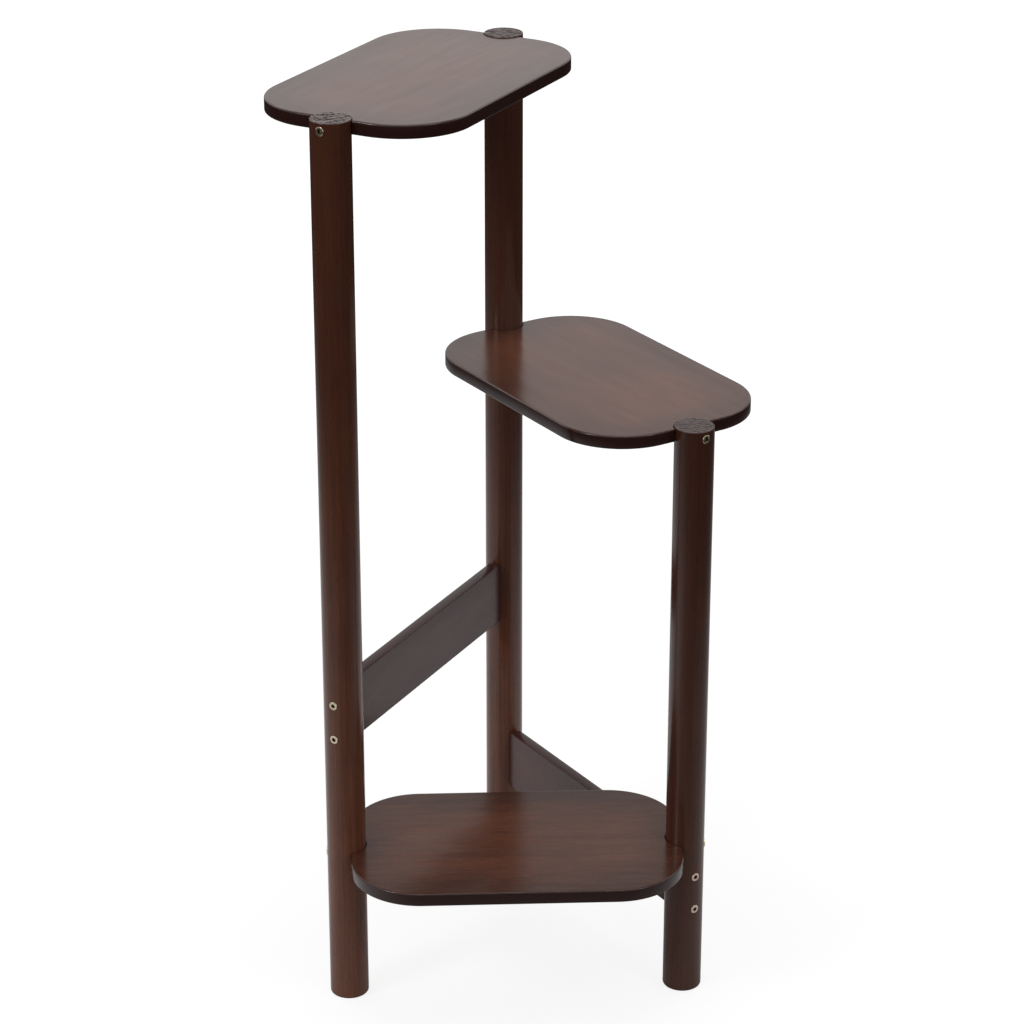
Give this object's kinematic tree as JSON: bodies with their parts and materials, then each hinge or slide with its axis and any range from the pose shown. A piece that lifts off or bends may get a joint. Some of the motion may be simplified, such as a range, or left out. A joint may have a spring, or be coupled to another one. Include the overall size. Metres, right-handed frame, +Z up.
{
  "type": "tiered plant stand",
  "caption": "Dark lacquered wood plant stand: round posts of unequal height in a triangle, rounded shelves stepped between them, and flat braces, held by socket screws through the posts.",
  "frame": {"origin": "on the floor, at the middle of the stand's outline seen from above", "axes": "+Z up along the posts; -Y is the front, where the bottom shelf's two posts stand; +X is the side of the short post"},
  "size_m": [0.4544, 0.4117, 0.9],
  "materials": {
    "post_wood": "dark red-brown stain under gloss lacquer",
    "shelf_wood": "dark walnut stain under gloss lacquer",
    "brace_wood": "dark walnut stain under gloss lacquer",
    "bolt_metal": "yellow passivated steel",
    "insert_metal": "plated zinc"
  },
  "bodies": {
    "root": {"bottom_shelf": "shelf_wood", "bottom_shelf_bolt_front_left": "bolt_metal", "bottom_shelf_bolt_front_right": "bolt_metal", "bottom_shelf_insert_front_left": "insert_metal", "bottom_shelf_insert_front_right": "insert_metal", "front_left_post": "post_wood", "front_right_post": "post_wood", "lower_brace": "brace_wood", "lower_brace_bolt_front_right_lower": "bolt_metal", "lower_brace_bolt_front_right_upper": "bolt_metal", "lower_brace_bolt_rear_lower": "bolt_metal", "lower_brace_bolt_rear_upper": "bolt_metal", "lower_brace_insert_front_right_lower": "insert_metal", "lower_brace_insert_front_right_upper": "insert_metal", "lower_brace_insert_rear_lower": "insert_metal", "lower_brace_insert_rear_upper": "insert_metal", "middle_shelf": "shelf_wood", "middle_shelf_bolt_front_right": "bolt_metal", "middle_shelf_bolt_rear": "bolt_metal", "middle_shelf_insert_front_right": "insert_metal", "middle_shelf_insert_rear": "insert_metal", "rear_post": "post_wood", "top_shelf": "shelf_wood", "top_shelf_bolt_front_left": "bolt_metal", "top_shelf_bolt_rear": "bolt_metal", "top_shelf_insert_front_left": "insert_metal", "top_shelf_insert_rear": "insert_metal", "upper_brace": "brace_wood", "upper_brace_bolt_front_left_lower": "bolt_metal", "upper_brace_bolt_front_left_upper": "bolt_metal", "upper_brace_bolt_rear_lower": "bolt_metal", "upper_brace_bolt_rear_upper": "bolt_metal", "upper_brace_insert_front_left_lower": "insert_metal", "upper_brace_insert_front_left_upper": "insert_metal", "upper_brace_insert_rear_lower": "insert_metal", "upper_brace_insert_rear_upper": "insert_metal"}
  },
  "joints": []
}
